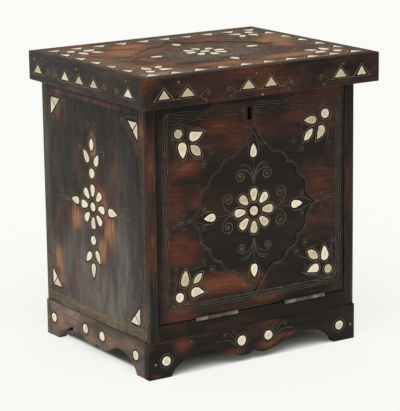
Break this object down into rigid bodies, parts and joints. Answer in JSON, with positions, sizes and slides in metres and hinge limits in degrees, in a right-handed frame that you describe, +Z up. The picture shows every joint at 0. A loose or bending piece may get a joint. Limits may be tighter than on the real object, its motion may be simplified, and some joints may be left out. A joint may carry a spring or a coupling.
{
  "type": "inlaid wooden casket",
  "caption": "Dark wooden casket on a scalloped plinth, with a hinged fall front, a hinged banded lid, a lock and bone inlay.",
  "frame": {"origin": "on the table, under the middle of the object's outline", "axes": "+Z up; the fall front faces -Y; +X is to the right as seen from the front"},
  "size_m": [0.2976, 0.2452, 0.3253],
  "materials": {
    "dark_wood": "dark red-brown hardwood, waxed and worn",
    "plain_wood": "bare brown wood, unpolished",
    "bone": "cream bone with a dull polish",
    "iron": "grey wrought iron with a worn sheen",
    "brass": "dull old brass"
  },
  "bodies": {
    "case": {"side_left": "dark_wood", "side_right": "dark_wood", "back_board": "plain_wood", "bottom_board": "plain_wood", "front_rail": "dark_wood", "fall_stop_left": "plain_wood", "fall_stop_right": "plain_wood", "apron_front": "dark_wood", "apron_back": "dark_wood", "apron_left": "dark_wood", "apron_right": "dark_wood", "corner_block_1": "plain_wood", "corner_block_2": "plain_wood", "corner_block_3": "plain_wood", "corner_block_4": "plain_wood", "fall_hinge_left_case_leaf": "iron", "fall_hinge_left_pin": "iron", "fall_hinge_right_case_leaf": "iron", "fall_hinge_right_pin": "iron", "lid_hinge_left_case_leaf": "iron", "lid_hinge_left_pin": "iron", "lid_hinge_right_case_leaf": "iron", "lid_hinge_right_pin": "iron"},
    "fall": {"fall_board": "dark_wood", "lock_case": "iron", "lock_cover": "iron", "lock_spring": "brass", "fall_hinge_left_fall_leaf": "iron", "fall_hinge_right_fall_leaf": "iron", "rosette_disc": "bone", "rosette_petal_1": "bone", "rosette_petal_2": "bone", "rosette_petal_3": "bone", "rosette_petal_4": "bone", "rosette_petal_5": "bone", "rosette_petal_6": "bone", "rosette_petal_7": "bone", "rosette_petal_8": "bone", "drop_right": "bone", "drop_top": "bone", "drop_left": "bone", "drop_bottom": "bone"},
    "bolt": {"lock_bolt": "iron"},
    "lid": {"lid_board": "dark_wood", "lid_band_front": "dark_wood", "lid_band_left": "dark_wood", "lid_band_right": "dark_wood", "lid_lock_rail": "plain_wood", "lock_keeper": "brass", "lid_hinge_left_lid_leaf": "iron", "lid_hinge_right_lid_leaf": "iron"}
  },
  "joints": [
    {"name": "fall_swing", "type": "hinge", "parent": "case", "child": "fall", "pos_m": [0, -0.09815, 0.0574], "axis": [1, 0, 0], "range_deg": [0, 104]},
    {"name": "lid_swing", "type": "hinge", "parent": "case", "child": "lid", "pos_m": [0, 0.12045, 0.31115], "axis": [-1, 0, 0], "range_deg": [0, 100]},
    {"name": "bolt_throw", "type": "slide", "parent": "fall", "child": "bolt", "axis": [0, 0, 1], "range_m": [0, 0.007]}
  ]
}
